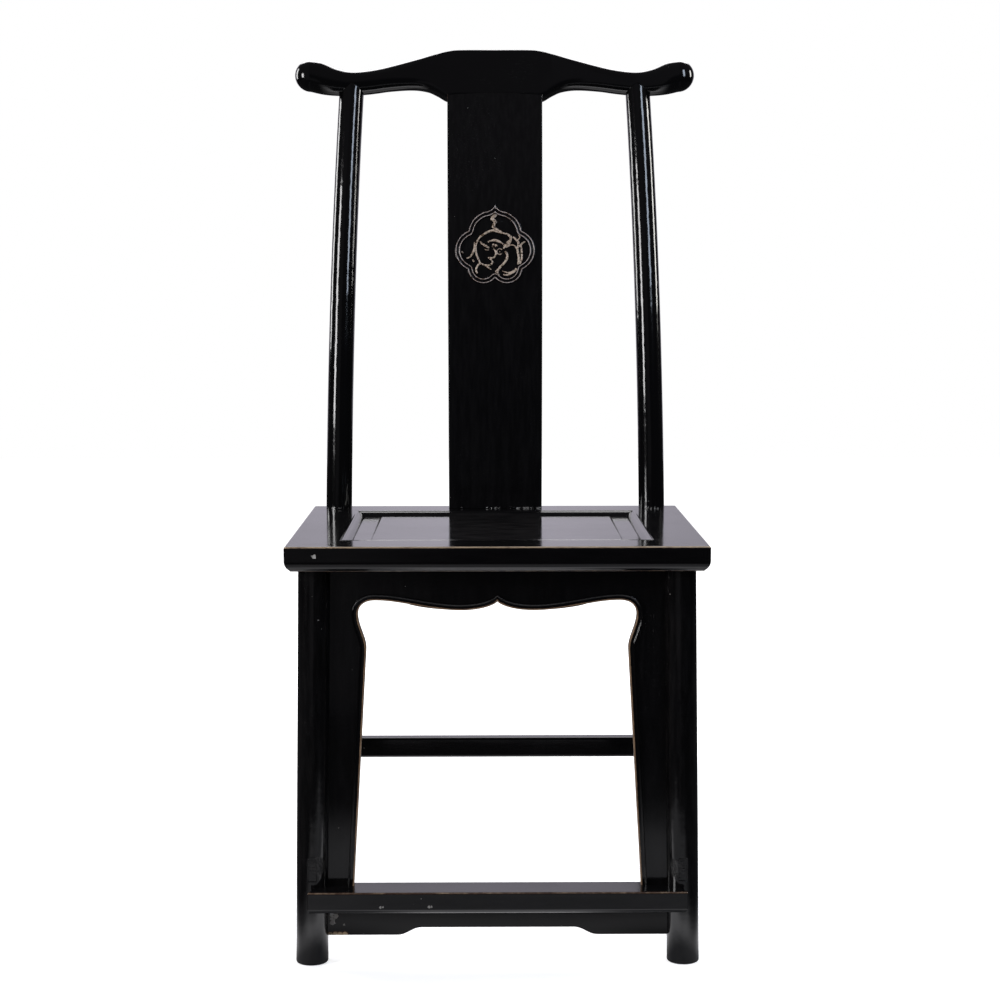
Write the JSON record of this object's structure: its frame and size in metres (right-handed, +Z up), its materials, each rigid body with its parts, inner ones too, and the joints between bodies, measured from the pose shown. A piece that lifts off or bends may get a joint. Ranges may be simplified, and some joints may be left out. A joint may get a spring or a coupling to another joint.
{
  "type": "official hat chair",
  "caption": "Yoke-back side chair without arms, in black lacquered wood, with a framed panel seat, a scalloped front apron, a foot rail and a carved medallion on its splat.",
  "frame": {"origin": "on the floor, in the chair's middle plane, midway between the seat's front edge and the back of the crest rail", "axes": "+X to the right as seen from in front of the chair, +Y from the sitter's front towards the back, +Z up"},
  "size_m": [0.545, 0.5076, 1.1345],
  "materials": {
    "black_lacquer": "high gloss lacquer, rubbed to brown wood on the edges",
    "bamboo": "bare, matte"
  },
  "bodies": {
    "root": {"crest_rail": "black_lacquer", "crest_pegs": "bamboo", "back_splat": "black_lacquer", "seat_rail_front": "black_lacquer", "seat_rail_rear": "black_lacquer", "seat_rail_left": "black_lacquer", "seat_rail_right": "black_lacquer", "seat_frame_pegs": "bamboo", "seat_panel": "black_lacquer", "seat_batten_left": "black_lacquer", "seat_batten_right": "black_lacquer", "front_apron": "black_lacquer", "front_apron_side_left": "black_lacquer", "front_apron_side_right": "black_lacquer", "foot_rail": "black_lacquer", "foot_rail_apron": "black_lacquer", "rear_stretcher": "black_lacquer", "side_stretcher_left": "black_lacquer", "side_stretcher_right": "black_lacquer", "side_apron_left": "black_lacquer", "side_apron_right": "black_lacquer", "rear_apron": "black_lacquer", "side_spandrel_front_left": "black_lacquer", "side_spandrel_front_right": "black_lacquer", "side_spandrel_rear_left": "black_lacquer", "side_spandrel_rear_right": "black_lacquer", "rear_spandrel_left": "black_lacquer", "rear_spandrel_right": "black_lacquer", "front_leg_left": "black_lacquer", "front_leg_right": "black_lacquer", "rear_leg_left": "black_lacquer", "rear_leg_right": "black_lacquer"}
  },
  "joints": []
}
